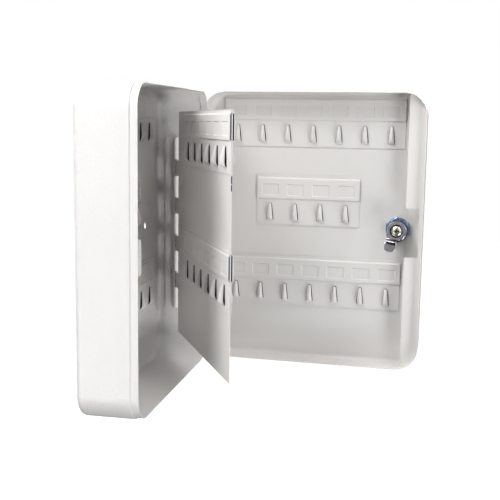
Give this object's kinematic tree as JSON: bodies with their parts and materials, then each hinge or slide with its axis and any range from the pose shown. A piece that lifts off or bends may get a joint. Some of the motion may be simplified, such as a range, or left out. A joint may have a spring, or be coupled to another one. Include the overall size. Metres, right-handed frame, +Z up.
{
  "type": "key cabinet",
  "caption": "Wall-mounted key cabinet of sheet steel: deep case, shallow hinged door with a cam lock, double-sided swing leaf, and rows of lanced key hooks with label bands.",
  "frame": {"origin": "centre of the case's back face, on the wall", "axes": "+Z up, front towards -Y, door hinges on the +X side, wall face normal +Y"},
  "size_m": [0.277, 0.2962, 0.3],
  "materials": {
    "paint": "semi-gloss powder coat with a light orange-peel texture",
    "pin_steel": "bright zinc-plated steel rod",
    "nickel": "satin nickel plate",
    "zinc": "bright blue zinc plate",
    "yellow_zinc": "pale yellow zinc plate"
  },
  "bodies": {
    "case": {"case_shell": "paint", "back_rail_top": "paint", "back_rail_middle": "paint", "back_rail_bottom": "paint", "strike_plate": "paint", "leaf_hinge_bracket": "paint", "leaf_hinge_pin": "pin_steel", "upper_hinge_case_half": "paint", "lower_hinge_case_half": "paint", "upper_hinge_pin": "pin_steel", "lower_hinge_pin": "pin_steel"},
    "door": {"door_shell": "paint", "door_edge_strip": "paint", "door_rail_top": "paint", "door_rail_middle": "paint", "door_rail_bottom": "paint", "upper_hinge_door_half": "paint", "lower_hinge_door_half": "paint", "lock_body": "nickel", "lock_washer": "zinc", "lock_nut": "zinc"},
    "leaf": {"leaf_panel": "paint", "leaf_rail_top_inner": "paint", "leaf_rail_top_outer": "paint", "leaf_rail_bottom_inner": "paint", "leaf_rail_bottom_outer": "paint"},
    "cam": {"lock_plug": "nickel", "lock_cam": "zinc", "lock_cam_washer": "zinc", "lock_cam_screw": "yellow_zinc"}
  },
  "joints": [
    {"name": "door_hinge", "type": "hinge", "parent": "case", "child": "door", "pos_m": [0.1243, -0.049, 0], "axis": [0, 0, 1], "range_deg": [-87.8, 87.2]},
    {"name": "leaf_hinge", "type": "hinge", "parent": "case", "child": "leaf", "pos_m": [0.1183, -0.0225, 0], "axis": [0, 0, 1], "range_deg": [-28.7, 28.7]},
    {"name": "lock_turn", "type": "hinge", "parent": "door", "child": "cam", "pos_m": [0.12691, -0.26756, 0.002], "axis": [-0.9993, 0.0384, 0], "range_deg": [0, 98.5]}
  ],
  "couplings": [
    {"joint": "leaf_hinge", "follows": "door_hinge", "ratio": 0.3264}
  ]
}
